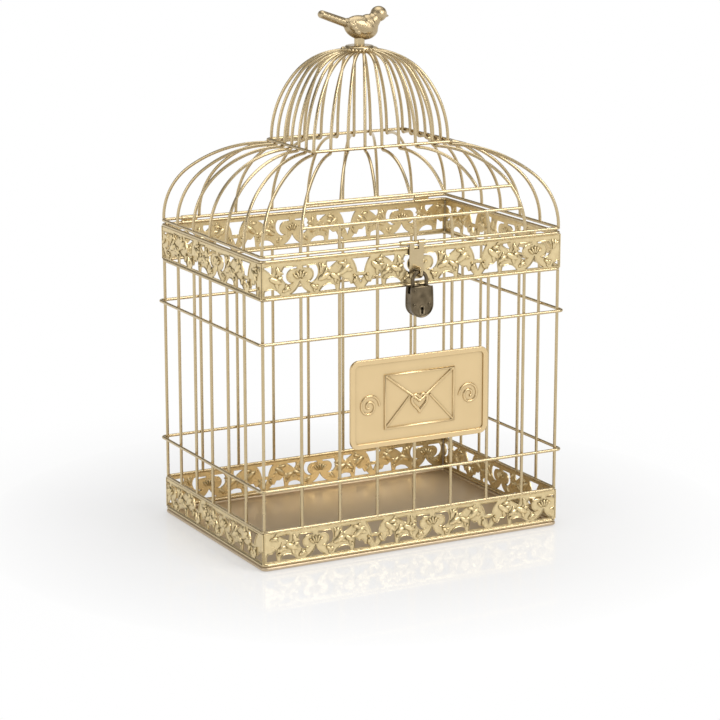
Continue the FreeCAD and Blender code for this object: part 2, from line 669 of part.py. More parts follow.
def bird():
    """The small bird on top, a casting, lofted through oval sections from tail to beak."""
    length = number("sizes.bird_length")
    height = number("sizes.bird_height")
    width = number("sizes.bird_width")
    start = -number("sizes.bird_tail_reach")
    belly = number(BELLY)
    sections = []
    for along, low, high, across in BIRD_SECTIONS:
        middle = FreeCAD.Vector(start + along * length, 0, belly + (low + high) / 2 * height)
        ring = []
        for step in range(BIRD_SECTION_POINTS):
            angle = 2 * math.pi * step / BIRD_SECTION_POINTS
            side = across * width / 2 * math.cos(angle)
            ring.append(middle + FreeCAD.Vector(0, side, (high - low) * height / 2 * math.sin(angle)))
        curve = Part.BSplineCurve()
        curve.interpolate(Points=ring, PeriodicFlag=True)
        sections.append(Part.Wire(curve.toShape()))
    post_foot = FreeCAD.Vector(0, 0, number(POST_FOOT))
    socket = Part.makeCylinder(number("sizes.post_dia / 2"), number("sizes.post_rise"), post_foot)
    part = keep(doc.addObject("Part::Feature", "bird_casting"), "bird")
    part.Shape = Part.makeLoft(sections, True).cut(socket)
    place = ("0", "0", POST_FOOT)
    keep(cylinder("sizes.post_dia / 2", "sizes.post_rise", place, "z"), "bird_post")


# Plaque, hinges and hasp

def plaque():
    """The sheet plate on the front bars, with a raised border."""
    body = add_body("plaque")
    back = f"{HALF_DEPTH} + {WIRE_RADIUS}"
    plate = add_sketch(body, "XZ_Plane", back, "sizes.plaque_shift", "sizes.plaque_level")
    half_width = "sizes.plaque_width / 2"
    half_height = "sizes.plaque_height / 2"
    add_rounded_outline(plate, half_width, half_height, "sizes.plaque_corner")
    pad(body, plate, "sizes.plaque_sheet")
    face = f"{back} + sizes.plaque_sheet"
    border = add_sketch(body, "XZ_Plane", face, "sizes.plaque_shift", "sizes.plaque_level")
    add_rounded_outline(border, half_width, half_height, "sizes.plaque_corner")
    inner = [f"{edge} - sizes.plaque_border" for edge in (half_width, half_height, "sizes.plaque_corner")]
    add_rounded_outline(border, *inner)
    pad(body, border, "sizes.plaque_border_rise")
    front = -number(f"{face} + sizes.plaque_border_rise")
    fillet(body, "sizes.plaque_border_round", lambda edge: abs(edge.BoundBox.YMax - front) < NEAR)


def hinge_strap(name, side):
    """A strip crimped on the rim wire and rolled loosely round the lid's back wire, which turns in it."""
    edge = f"(sizes.slot_rib * {FRONT_PITCH} + {WIRE_RADIUS} + sizes.hinge_side_gap)"
    left = edge if side == 1 else f"-({edge} + sizes.hinge_length)"
    upper = (left, HALF_DEPTH, LID)
    lower = (left, HALF_DEPTH, RIM)
    wrap = fuse(*(cylinder(BARREL_RADIUS, "sizes.hinge_length", place, "x") for place in (upper, lower)))
    bores = fuse(cylinder(BARREL_BORE, "sizes.hinge_length", upper, "x"),
                 cylinder(WIRE_RADIUS, "sizes.hinge_length", lower, "x"))
    # The crimp stays open below, clear of the lace
    size = ("sizes.hinge_length", f"2 * {BARREL_RADIUS}", f"2 * {BARREL_RADIUS}")
    place = (left, f"{HALF_DEPTH} - {BARREL_RADIUS}", f"{RIM} - {WIRE_RADIUS} / 2 - 2 * {BARREL_RADIUS}")
    keep(cut(wrap, fuse(bores, box(size, place))), name)


def split_hasp(body):
    """Opens the hasp's top round the lid's middle rib."""
    split = add_sketch(body, "XZ_Plane", HALF_DEPTH)
    gap = f"({WIRE_RADIUS} + sizes.hasp_split)"
    add_box_outline(split, f"-{gap}", gap, f"{LID} - sizes.hasp_split_drop", f"{LID} + 2 * {BARREL_RADIUS}")
    pocket(body, split, "2 * sizes.hasp_width")


def hasp_barrel():
    """The hasp's rolled top, which turns on the lid's front wire."""
    body = add_body("hasp_barrel")
    roll = add_sketch(body, "YZ_Plane", "-sizes.hasp_left")
    for radius in (BARREL_RADIUS, BARREL_BORE):
        add_circle(roll, f"-{HALF_DEPTH}", LID, radius)
    pad(body, roll, "sizes.hasp_left + sizes.hasp_right")
    split_hasp(body)


def hasp_strap():
    """The flat part of the hasp, which hangs from the barrel and is shaped to it at the top."""
    body = add_body("hasp_strap")
    plate = add_sketch(body, "XZ_Plane", HASP_BACK)
    end = f"{LID} - sizes.hasp_drop"
    half = "sizes.hasp_width / 2"
    add_box_outline(plate, f"-{half}", half, end, LID)
    pad(body, plate, "sizes.strap_sheet")
    low = number(end)

    def at_low_corner(edge):
        return edge.BoundBox.ZMax < low + NEAR and edge.BoundBox.XLength < NEAR

    fillet(body, "sizes.hasp_corner", at_low_corner)
    roll = add_sketch(body, "YZ_Plane")
    add_circle(roll, f"-{HALF_DEPTH}", LID, BARREL_RADIUS)
    pocket(body, roll, "2 * (sizes.hasp_left + sizes.hasp_right)")
    split_hasp(body)
    legs = add_sketch(body, "XZ_Plane", HALF_DEPTH)
    for side in (-1, 1):
        add_circle(legs, None, f"{SHACKLE_TOP} + {side} * {EYE_BEND}", "sizes.eye_dia / 2")
    pocket(body, legs, "2 * sizes.hasp_width")


def lock_eye():
    """The wire eye on the hasp that the shackle hangs in. Its legs go through the strap."""
    length = f"{LOCK_PLANE} - {HASP_BACK}"
    legs = []
    for side in (-1, 1):
        level = f"{SHACKLE_TOP} + {side} * {EYE_BEND}"
        legs.append(cylinder("sizes.eye_dia / 2", length, ("0", f"-{LOCK_PLANE}", level), "y"))
    # The ring stands upright, with its round side to the front
    upright = FreeCAD.Rotation(AXES["z"], -AXES["y"], AXES["x"], "XYZ")
    ring = half_ring(EYE_BEND, "sizes.eye_dia / 2", ("0", f"-{LOCK_PLANE}", SHACKLE_TOP), upright)
    keep(fuse(*legs, ring), "lock_eye")


# Padlock

def add_case_outline(sketch, inset):
    """The padlock's outline: a half-round bottom, bowed sides and a flat top, drawn in by an inset."""
    radius_text = f"sizes.case_width / 2 - {inset}"
    top_text = f"{CASE_TOP} - {inset}"
    half_top_text = f"sizes.case_top_width / 2 - {inset}"
    radius = number(radius_text)
    middle = number(CASE_MIDDLE)
    top = number(top_text)
    half_top = number(half_top_text)
    bow = radius - half_top
    rise = top - middle
    side_radius = (bow ** 2 + rise ** 2) / (2 * bow)
    lean = math.asin(rise / side_radius)
    bottom, right, lid, left = sketch.addGeometry([
        arc_of(0, middle, radius, math.pi, 2 * math.pi),
        arc_of(radius - side_radius, middle, side_radius, 0, lean),
        Part.LineSegment(FreeCAD.Vector(half_top, top, 0), FreeCAD.Vector(-half_top, top, 0)),
        arc_of(side_radius - radius, middle, side_radius, math.pi - lean, math.pi),
    ], False)
    for kind, elements in (("Tangent", (bottom, 2, right, 1)), ("Coincident", (right, 2, lid, 1)),
                           ("Coincident", (lid, 2, left, 1)), ("Tangent", (left, 2, bottom, 1))):
        sketch.addConstraint(Sketcher.Constraint(kind, *elements))
    bind(sketch, "Radius", (bottom,), radius_text)
    place_point(sketch, bottom, 3, None, CASE_MIDDLE)
    for point in (1, 2):
        bind(sketch, "DistanceY", (-1, 1, bottom, point), CASE_MIDDLE)
    place_point(sketch, lid, 1, half_top_text, top_text)
    place_point(sketch, lid, 2, f"-({half_top_text})", top_text)


def pad_slice(body, sketch_of, offset, length):
    """A pad of an upright outline, from an offset in front of the box's middle plane, towards the front."""
    sketch = add_sketch(body, "XZ_Plane", offset)
    sketch_of(sketch)
    return pad(body, sketch, length)


def add_keyhole(sketch):
    half = "sizes.keyhole_slit / 2"
    add_box_outline(sketch, f"-{half}", half, f"{KEYHOLE} - sizes.keyhole_drop", KEYHOLE)


def cut_keyhole(body):
    for outline in (lambda sketch: add_circle(sketch, None, KEYHOLE, "sizes.keyhole_dia / 2"), add_keyhole):
        sketch = add_sketch(body, "XZ_Plane", f"{LOCK_PLANE} + sizes.case_depth / 2")
        outline(sketch)
        pocket(body, sketch, "sizes.case_depth")


def add_rivets(sketch):
    for side in (-1, 1):
        add_circle(sketch, f"{side} * sizes.rivet_spread / 2", CASE_MIDDLE, "sizes.rivet_dia / 2")


def cut_fixings(body):
    """Holes for the rivets and the pivot pin."""
    sketch = add_sketch(body, "XZ_Plane", LOCK_PLANE)
    add_rivets(sketch)
    add_circle(sketch, "-sizes.shackle_width / 2", PIN, "sizes.pin_dia / 2")
    pocket(body, sketch, "2 * sizes.case_depth")


def padlock_case():
    half_depth = "sizes.case_depth / 2"
    hollow = f"{half_depth} - sizes.case_wall"
    for name, offset in (("padlock_front_plate", f"{LOCK_PLANE} + {hollow}"),
                         ("padlock_back_plate", f"{LOCK_PLANE} - {half_depth}")):
        body = add_body(name)
        pad_slice(body, lambda sketch: add_case_outline(sketch, "0"), offset, "sizes.case_wall")
        cut_fixings(body)
        if name == "padlock_front_plate":
            cut_keyhole(body)

    rim = add_body("padlock_rim")
    back = f"{LOCK_PLANE} - ({hollow})"

    def wall_outlines(sketch):
        add_case_outline(sketch, "0")
        add_case_outline(sketch, "sizes.case_wall")

    pad_slice(rim, wall_outlines, back, f"2 * ({hollow})")
    leg = "sizes.shackle_width / 2"
    openings = [
        ("-sizes.case_width / 2", f"-{leg} + {LEG_ROOM}", f"{PIN} - {LEG_ROOM}"),
        (f"{leg} - {LEG_ROOM} - sizes.leg_swing_play", f"{leg} + {LEG_ROOM}", PIN),
    ]
    for left, right, low in openings:
        opening = add_sketch(rim, "XZ_Plane", LOCK_PLANE)
        add_box_outline(opening, left, right, low, f"{CASE_TOP} + sizes.case_wall")
        pocket(rim, opening, f"2 * {LEG_ROOM}")

    rivets = add_body("padlock_rivets")
    pad_slice(rivets, add_rivets, f"{LOCK_PLANE} - {half_depth}", "sizes.case_depth")

    plate = add_body("keyhole_plate")
    half_width = "sizes.keyhole_dia / 2 + sizes.keyhole_plate_rim"
    half_height = "(sizes.keyhole_dia / 2 + sizes.keyhole_drop) / 2 + sizes.keyhole_plate_rim"
    middle = f"{KEYHOLE} - (sizes.keyhole_drop - sizes.keyhole_dia / 2) / 2"
    outline = add_sketch(plate, "XZ_Plane", f"{LOCK_PLANE} + {half_depth}", None, middle)
    # The ends are just short of half rounds, which leaves the outline its short straight runs
    nearly_round = 0.96
    add_rounded_outline(outline, half_width, half_height, f"{nearly_round} * ({half_width})")
    pad(plate, outline, "sizes.keyhole_plate_rise")
    cut_keyhole(plate)


def padlock_works():
    """The shackle with its pivot pin, and the latch bolt with its leaf spring inside the case."""
    leg = "sizes.shackle_width / 2"
    radius = "sizes.shackle_dia / 2"
    left = (f"-{leg}", f"-{LOCK_PLANE}", PIN)
    right = (leg, f"-{LOCK_PLANE}", f"{PIN} - sizes.shackle_toe")
    pivot_leg = cylinder(radius, f"{SHACKLE_ARCH} - {PIN}", left, "z")
    free_leg = cylinder(radius, f"{SHACKLE_ARCH} - {PIN} + sizes.shackle_toe", right, "z")
    bow = half_ring(leg, radius, ("0", f"-{LOCK_PLANE}", SHACKLE_ARCH), FreeCAD.Rotation(AXES["x"], 90))
    eye_front = (f"-{leg}", f"-{LOCK_PLANE} - sizes.shackle_eye_depth / 2", PIN)
    eye = cylinder("sizes.shackle_eye_dia / 2", "sizes.shackle_eye_depth", eye_front, "y")
    hole_front = (f"-{leg}", f"-{LOCK_PLANE} - sizes.shackle_dia", PIN)
    hole = cylinder("sizes.pin_dia / 2 + sizes.running_fit", "2 * sizes.shackle_dia", hole_front, "y")
    keep(cut(fuse(pivot_leg, bow, free_leg, eye), hole), "padlock_shackle")

    plate_front = (f"-{leg}", f"-{LOCK_PLANE} - sizes.case_depth / 2", PIN)
    keep(cylinder("sizes.pin_dia / 2", "sizes.case_depth", plate_front, "y"), "padlock_pivot_pin")

    bolt_tip = f"({leg} - {radius} - sizes.bolt_draw)"
    bolt_size = ("sizes.bolt_length", "sizes.bolt_width", "sizes.bolt_width")
    bolt_place = (f"{bolt_tip} - sizes.bolt_length", f"-{LOCK_PLANE} - sizes.bolt_width / 2",
                  f"{PIN} - sizes.bolt_width")
    keep(box(bolt_size, bolt_place), "padlock_latch_bolt")

    spring = add_body("padlock_latch_spring")
    sketch = add_sketch(spring, "XZ_Plane", f"{LOCK_PLANE} - sizes.bolt_width / 2")
    tip = f"({bolt_tip} - sizes.bolt_length)"
    end = f"({tip} - sizes.spring_length)"
    high = PIN
    low = f"({PIN} - sizes.bolt_width)"
    middle = f"({PIN} - sizes.bolt_width / 2)"
    # A leaf folded to a V, whose fold bears on the bolt
    add_outline(sketch, [(end, low), (f"{end} + sizes.spring_sheet", low), (tip, middle),
                         (f"{end} + sizes.spring_sheet", high), (end, high),
                         (f"{tip} - 2 * sizes.spring_sheet", middle)])
    pad(spring, sketch, "sizes.bolt_width")


base_pan()
wire_loop("base_bottom_wire", BASE_LOW)
wire_loop("base_top_wire", BASE_TOP)
wire_loop("lower_ring", f"{BASE_TOP} + sizes.lower_ring_rise", "sizes.wire_dia")
wire_loop("upper_ring", f"{BASE_TOP} + sizes.upper_ring_rise", "sizes.wire_dia")
wire_loop("band_wire", BAND)
wire_loop("body_rim_wire", RIM)
bar_row("front_bars", "front", -1)
bar_row("back_bars", "front", 1)
bar_row("left_bars", "side", -1)
bar_row("right_bars", "side", 1)
corner_posts()
for band, shifts in LACE_SHIFTS.items():
    for wall, pattern_shift in shifts.items():
        lace_strip(f"{band}_lace_{wall}", band, wall, pattern_shift)
plaque()
hinge_strap("hinge_strap_left", -1)
hinge_strap("hinge_strap_right", 1)
wire_loop("lid_frame_wire", LID)
wire_loop("neck_ring", NECK, "0", "sizes.neck_width / 2", "sizes.neck_depth / 2")
crown_button()
lid_ribs()
bird()
hasp_barrel()
hasp_strap()
lock_eye()
padlock_works()
padlock_case()

doc.recompute()
for item in doc.Objects:
    if "Invalid" in item.State or "Error" in item.State:
        raise RuntimeError(f"{item.Label}: {item.getStatusString()}")
for part in parts:
    if part.Shape.isNull() or not part.Shape.isValid() or not part.Shape.Solids:
        raise RuntimeError(f"{part.Label}: no valid solid")
os.makedirs("parts", exist_ok=True)
for part in parts:
    part.Shape.exportStep(f"parts/{part.Label}.step")
print(len(parts), "sub-parts written")
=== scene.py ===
import json
import math

import bpy
from mathutils import Euler, Matrix, Vector


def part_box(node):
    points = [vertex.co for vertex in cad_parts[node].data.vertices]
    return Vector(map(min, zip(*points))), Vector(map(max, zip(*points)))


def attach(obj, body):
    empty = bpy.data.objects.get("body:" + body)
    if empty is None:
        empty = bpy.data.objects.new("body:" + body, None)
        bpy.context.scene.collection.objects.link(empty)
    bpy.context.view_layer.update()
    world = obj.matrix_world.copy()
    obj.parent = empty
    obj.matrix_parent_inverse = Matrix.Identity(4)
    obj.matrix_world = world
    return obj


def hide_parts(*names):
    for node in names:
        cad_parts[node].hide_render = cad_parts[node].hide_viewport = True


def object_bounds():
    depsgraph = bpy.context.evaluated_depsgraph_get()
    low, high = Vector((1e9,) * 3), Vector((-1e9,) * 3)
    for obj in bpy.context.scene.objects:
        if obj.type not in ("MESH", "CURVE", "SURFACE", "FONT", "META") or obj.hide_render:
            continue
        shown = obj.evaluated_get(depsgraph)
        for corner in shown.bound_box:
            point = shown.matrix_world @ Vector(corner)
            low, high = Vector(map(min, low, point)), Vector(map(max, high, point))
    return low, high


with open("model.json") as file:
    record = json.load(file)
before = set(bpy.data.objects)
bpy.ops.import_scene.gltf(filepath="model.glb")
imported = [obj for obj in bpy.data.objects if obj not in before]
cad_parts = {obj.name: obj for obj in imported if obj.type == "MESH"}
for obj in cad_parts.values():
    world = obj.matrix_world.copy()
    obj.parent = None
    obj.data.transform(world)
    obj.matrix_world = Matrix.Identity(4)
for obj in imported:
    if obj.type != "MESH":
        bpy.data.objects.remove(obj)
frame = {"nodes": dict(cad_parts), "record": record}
cad_low, cad_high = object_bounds()

bl_info = {
    "name": "Birdcage Card Box",
    "version": (1, 0, 0),
    "blender": (4, 5, 0),
    "location": "View3D > Sidebar > Card Box",
    "description": "Dresses the card box: lace relief, plaque emboss, bird, padlock, welds, paint and stage",
    "category": "Object",
}

# Directions across the box: each wall's outward normal and the direction along it seen from outside
WALLS = {
    "front": (Vector((0, -1, 0)), Vector((1, 0, 0))),
    "back": (Vector((0, 1, 0)), Vector((-1, 0, 0))),
    "left": (Vector((-1, 0, 0)), Vector((0, -1, 0))),
    "right": (Vector((1, 0, 0)), Vector((0, 1, 0))),
}
UP = Vector((0, 0, 1))

# Gaps between the bars of each wall. The lid has a rib over each bar and each corner
WALL_GAPS = {"front": 8, "back": 8, "left": 6, "right": 6}
RIB_COUNT = sum(WALL_GAPS.values())


class LaceSettings(bpy.types.PropertyGroup):
    pitch: bpy.props.FloatProperty(name="Pitch", default=0.1, unit="LENGTH")
    rim: bpy.props.FloatProperty(name="Rolled rim", default=0.0005, unit="LENGTH")
    relief: bpy.props.FloatProperty(name="Relief", default=0.0017, unit="LENGTH")


class PaintSettings(bpy.types.PropertyGroup):
    roughness: bpy.props.FloatProperty(name="Roughness", default=0.25)
    speckle: bpy.props.FloatProperty(name="Speckle scale", default=900.0)


class StageSettings(bpy.types.PropertyGroup):
    lens: bpy.props.FloatProperty(name="Lens", default=128.03)
    distance: bpy.props.FloatProperty(name="Camera distance", default=1.9986, unit="LENGTH")
    azimuth: bpy.props.FloatProperty(name="Azimuth", default=-28.11)
    elevation: bpy.props.FloatProperty(name="Elevation", default=13.28)
    target_level: bpy.props.FloatProperty(name="Target level", default=0.1285, unit="LENGTH")
    target_across: bpy.props.FloatProperty(name="Target across", default=0.0005, unit="LENGTH")


# Helpers that use the operators

# Faces that meet at more than this angle keep a sharp edge
SHARP_ANGLE = math.radians(50)
TUBE_BEVEL_STEPS = 2


def select_only(obj):
    bpy.ops.object.select_all(action="DESELECT")
    obj.select_set(True)
    bpy.context.view_layer.objects.active = obj


def join(objects):
    bpy.ops.object.select_all(action="DESELECT")
    for obj in objects:
        obj.select_set(True)
    bpy.context.view_layer.objects.active = objects[0]
    if len(objects) > 1:
        bpy.ops.object.join()
    joined = bpy.context.view_layer.objects.active
    bpy.ops.object.transform_apply(location=True, rotation=True, scale=True)
    return joined


def finish_piece(obj, name, body, material, replaces=()):
    """Names a piece, paints it and lets it ride on its body."""
    select_only(obj)
    obj.name = name
    obj.data.name = name
    obj.data.materials.clear()
    obj.data.materials.append(MATERIALS[material])
    bpy.ops.object.shade_smooth_by_angle(angle=SHARP_ANGLE)
    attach(obj, body)
    if replaces:
        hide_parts(*replaces)
    return obj


def blob(place, size, facets, turn=None):
    """A ball stretched to a size and turned, at a place. Its facets are its segments and rings."""
    segments, rings = facets
    bpy.ops.mesh.primitive_uv_sphere_add(segments=segments, ring_count=rings, radius=0.5, location=place)
    obj = bpy.context.active_object
    obj.scale = size
    if turn is not None:
        obj.rotation_euler = turn
    bpy.ops.object.transform_apply(location=True, rotation=True, scale=True)
    return obj


def tube(points, radius, closed=False):
    """A round wire through points, as a mesh."""
    curve = bpy.data.curves.new("wire", "CURVE")
    curve.dimensions = "3D"
    curve.bevel_depth = radius
    curve.bevel_resolution = TUBE_BEVEL_STEPS
    curve.use_fill_caps = not closed
    line = curve.splines.new("POLY")
    line.points.add(len(points) - 1)
    for point, place in zip(line.points, points):
        point.co = (*place, 1)
    line.use_cyclic_u = closed
    obj = bpy.data.objects.new("wire", curve)
    bpy.context.scene.collection.objects.link(obj)
    select_only(obj)
    bpy.ops.object.convert(target="MESH")
    return bpy.context.active_object


# Materials

# Each finish has a light and a dark tone, is this much rougher than the gold paint, and says where else it
# departs from it, such as how strongly painted shade darkens its corners and gaps
FINISHES = {
    "gold_paint": {"light": (0.63, 0.51, 0.31), "dark": (0.49, 0.385, 0.22), "rougher": 0.0},
    "gold_lace": {
        "light": (0.88, 0.73, 0.43), "dark": (0.60, 0.46, 0.24), "rougher": 0.03,
        "painted_corner_shade": 0.9, "bump": 0.7, "mottle": 160.0, "grain_scale": 520.0,
    },
    "gold_cast": {
        "light": (0.62, 0.50, 0.31), "dark": (0.32, 0.24, 0.13), "rougher": 0.09,
        "painted_corner_shade": 1.0, "bump": 0.5, "mottle": 140.0, "grain_scale": 650.0,
    },
    "gold_plate": {
        "light": (0.78, 0.595, 0.335), "dark": (0.72, 0.54, 0.29), "rougher": 0.06,
        "painted_corner_shade": 0.6, "bump": 0.04,
    },
    "gold_pan": {"light": (0.60, 0.475, 0.32), "dark": (0.51, 0.40, 0.26), "rougher": 0.12, "metallic": 0.7},
    "antique_bronze": {
        "light": (0.27, 0.21, 0.13), "dark": (0.035, 0.026, 0.014), "rougher": 0.05,
        "painted_corner_shade": 0.8, "bump": 0.3, "mottle": 210.0,
    },
    "antique_brass": {"light": (0.48, 0.39, 0.26), "dark": (0.22, 0.17, 0.10), "rougher": 0.07},
    "spring_steel": {
        "light": (0.55, 0.55, 0.55), "dark": (0.40, 0.40, 0.40), "rougher": 0.05, "metallic": 1.0,
    },
}
MOTTLE_DETAIL = 4.0
GRAIN_DETAIL = 2.0
GRAIN_DEPTH = 0.0004
# How far the painted shade in corners looks for nearby surfaces, and with how many samples
PAINTED_SHADE_REACH = 0.004
PAINTED_SHADE_SAMPLES = 4
# The mottling makes a finish smoother and rougher by this much
SMOOTHER_BY = 0.07
ROUGHER_BY = 0.09

MATERIALS = {}


def new_material(name):
    material = bpy.data.materials.new(name)
    material.use_nodes = True
    nodes = material.node_tree.nodes
    links = material.node_tree.links
    return material, nodes, links, nodes["Principled BSDF"]


def mapped(nodes, links, value, start, end, start_result, end_result):
    """A node that turns a value's range into another range."""
    node = nodes.new("ShaderNodeMapRange")
    node.inputs["From Min"].default_value = start
    node.inputs["From Max"].default_value = end
    node.inputs["To Min"].default_value = start_result
    node.inputs["To Max"].default_value = end_result
    links.new(value, node.inputs["Value"])
    return node


def colour_mix(nodes):
    """A node that mixes two colours."""
    node = nodes.new("ShaderNodeMix")
    node.data_type = "RGBA"
    return node


def noise(nodes, links, place, scale, detail):
    """A noise pattern fixed to the piece."""
    node = nodes.new("ShaderNodeTexNoise")
    node.inputs["Scale"].default_value = scale
    node.inputs["Detail"].default_value = detail
    links.new(place.outputs["Object"], node.inputs["Vector"])
    return node


def paint_corner_shade(nodes, links, colour, strength):
    """Paints shade into a colour: darkens it in the piece's corners and gaps and returns the result."""
    corner = nodes.new("ShaderNodeAmbientOcclusion")
    corner.inputs["Distance"].default_value = PAINTED_SHADE_REACH
    corner.samples = PAINTED_SHADE_SAMPLES
    shade = colour_mix(nodes)
    shade.blend_type = "MULTIPLY"
    shade.inputs["Factor"].default_value = strength
    links.new(colour, shade.inputs["A"])
    links.new(corner.outputs["Color"], shade.inputs["B"])
    return shade.outputs["Result"]


def metal_paint(name, light, dark, rougher, metallic=0.94, painted_corner_shade=0.0, bump=0.06, mottle=55.0,
                grain_scale=None):
    """Metallic paint: mottled colour, fine flake bump, and painted shade in the corners where asked."""
    settings = bpy.context.scene.card_box_paint
    material, nodes, links, shader = new_material(name)
    place = nodes.new("ShaderNodeTexCoord")
    cloud = noise(nodes, links, place, mottle, MOTTLE_DETAIL)
    tones = colour_mix(nodes)
    tones.inputs["A"].default_value = (*dark, 1)
    tones.inputs["B"].default_value = (*light, 1)
    links.new(cloud.outputs["Fac"], tones.inputs["Factor"])
    colour = tones.outputs["Result"]
    # Painted shade: the colour is darkened in corners and gaps
    if painted_corner_shade:
        colour = paint_corner_shade(nodes, links, colour, painted_corner_shade)
    links.new(colour, shader.inputs["Base Color"])
    flake = noise(nodes, links, place, grain_scale or settings.speckle, GRAIN_DETAIL)
    grain = nodes.new("ShaderNodeBump")
    grain.inputs["Strength"].default_value = bump
    grain.inputs["Distance"].default_value = GRAIN_DEPTH
    links.new(flake.outputs["Fac"], grain.inputs["Height"])
    links.new(grain.outputs["Normal"], shader.inputs["Normal"])
    middle = settings.roughness + rougher
    rough = mapped(nodes, links, cloud.outputs["Fac"], 0.0, 1.0, middle - SMOOTHER_BY, middle + ROUGHER_BY)
    links.new(rough.outputs["Result"], shader.inputs["Roughness"])
    shader.inputs["Metallic"].default_value = metallic
    return material


class CARDBOX_OT_paint(bpy.types.Operator):
    """Makes the finishes and paints the frame's own pieces"""
    bl_idname = "card_box.paint"
    bl_label = "Paint"

    def execute(self, context):
        for name, finish in FINISHES.items():
            MATERIALS[name] = metal_paint(name, **finish)
        slots = {part["node"]: part["material_slot"] for part in frame["record"]["subparts"]}
        for node, obj in frame["nodes"].items():
            obj.data.materials.clear()
            obj.data.materials.append(MATERIALS[slots[node]])
        return {"FINISHED"}


# Lace relief

# The lace pattern is drawn on a grid, this wide for half a repeat and this high
PATTERN_HALF = 50.0
PATTERN_HEIGHT = 25.0
# The raised leaves of half a repeat on that grid: place across, level, tilt in degrees, length and width
LEAVES = [
    (20.0, 12.0, 25, 12.0, 5.4),
    (28.5, 11.2, -32, 9.5, 4.6),
    (36.6, 15.6, 38, 12.5, 5.6),
    (34.6, 20.2, -12, 8.0, 3.2),
    (17.6, 18.2, 72, 8.5, 3.8),
    (11.4, 5.2, -38, 7.5, 3.4),
    (45.2, 7.4, 62, 6.5, 2.6),
    (30.6, 6.6, 0, 2.6, 2.6),
    (44.6, 10.2, 0, 2.4, 2.4),
]
LEAF_FACETS = (8, 5)
# A leaf at least this long has two side lobes, which lean this many degrees from it. Their place and size are
# shares of the leaf's
LOBED_LENGTH = 7.0
LOBE_LEAN = 48
LOBE_PLACE = 0.26
LOBE_SIZE = 0.62
# The shell in the middle of a repeat is a fan of ridges round its foot
SHELL_FOOT = 10.6
SHELL_RIDGE_TILTS = (-46, -23, 0, 23, 46)
SHELL_RIDGE_REACH = 4.8
SHELL_RIDGE_LENGTH = 6.8
SHELL_RIDGE_WIDTH = 2.3
# How far a shell's middle lies from each strip's middle, in millimetres
LACE_SHIFTS = {
    "base_lace_front": 16, "base_lace_back": -10, "base_lace_left": 20, "base_lace_right": -6,
    "top_lace_front": 4, "top_lace_back": 14, "top_lace_left": 13, "top_lace_right": -8,
}
MILLIMETRES = 1000
RIM_BEVEL_STEPS = 1
# A face points along a direction when its normal's share of it is over this
FACING = 0.9
# Two corners are the same place when they agree to this many digits, which is a micrometre
PLACE_DIGITS = 6


def rounded_place(vertex):
    return tuple(round(value, PLACE_DIGITS) for value in vertex.co)


def front_rims(node, outward):
    """The edges of a sheet's outer face, as a wire mesh: its holes and its border."""
    mesh = frame["nodes"][node].data
    uses = {}
    for face in mesh.polygons:
        if face.normal.dot(outward) > FACING:
            for pair in face.edge_keys:
                key = tuple(sorted(rounded_place(mesh.vertices[corner]) for corner in pair))
                uses[key] = uses.get(key, 0) + 1
    border = [key for key, count in uses.items() if count == 1]
    numbers = {}
    for key in border:
        for place in key:
            numbers.setdefault(place, len(numbers))
    wire = bpy.data.meshes.new("rims")
    wire.from_pydata(list(numbers), [(numbers[start], numbers[end]) for start, end in border], [])
    obj = bpy.data.objects.new("rims", wire)
    bpy.context.scene.collection.objects.link(obj)
    return obj


def rolled_rims(node, outward, radius):
    """Round wires along the edges of a sheet's outer face."""
    rims = front_rims(node, outward)
    select_only(rims)
    bpy.ops.object.convert(target="CURVE")
    rims.data.bevel_depth = radius
    rims.data.bevel_resolution = RIM_BEVEL_STEPS
    bpy.ops.object.convert(target="MESH")
    return bpy.context.active_object


def leaf_line(along, tilt):
    """The direction in a wall at a tilt from level."""
    angle = math.radians(tilt)
    return along * math.cos(angle) + UP * math.sin(angle)


def leaf_turn(outward, along, tilt):
    """Turns a ball's length along a tilted line in a wall, and its thin way out of the wall."""
    length = leaf_line(along, tilt)
    width = outward.cross(length)
    matrix = Matrix((length, width, outward)).transposed()
    return matrix.to_euler()


def lace_leaves(node, shift, outward, along, settings):
    """The raised leaves and shells of a lace strip."""
    low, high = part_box(node)
    middle = (low + high) / 2
    face = middle + outward * (abs((high - low).dot(outward)) / 2)
    half_length = abs((high - low).dot(along)) / 2
    lift = (high.z - low.z) / PATTERN_HEIGHT
    stretch = settings.pitch / 2 / PATTERN_HALF
    pieces = []

    def add_leaf(across, level, tilt, length, width):
        if abs(across) > half_length - length * stretch / 2:
            return
        place = face + along * across + UP * (low.z - middle.z + level * lift)
        size = Vector((length * stretch, width * stretch, settings.relief * 2))
        pieces.append(blob(place, size, LEAF_FACETS, leaf_turn(outward, along, tilt)))
        if length < LOBED_LENGTH:
            return
        for side in (-1, 1):
            lean = tilt + side * LOBE_LEAN
            step = leaf_line(along, lean) * size.x * LOBE_PLACE
            pieces.append(blob(place + step, size * LOBE_SIZE, LEAF_FACETS, leaf_turn(outward, along, lean)))

    repeats = math.ceil(half_length / settings.pitch) + 1
    for repeat in range(-repeats, repeats + 1):
        centre = (shift / MILLIMETRES) + repeat * settings.pitch
        for tilt in SHELL_RIDGE_TILTS:
            lean = math.radians(tilt)
            across = centre + math.sin(lean) * SHELL_RIDGE_REACH * stretch
            level = SHELL_FOOT + math.cos(lean) * SHELL_RIDGE_REACH
            add_leaf(across, level, 90 - tilt, SHELL_RIDGE_LENGTH, SHELL_RIDGE_WIDTH)
        for mirror in (-1, 1):
            for across, level, tilt, length, width in LEAVES:
                add_leaf(centre + mirror * across * stretch, level, mirror * tilt, length, width)
    return pieces


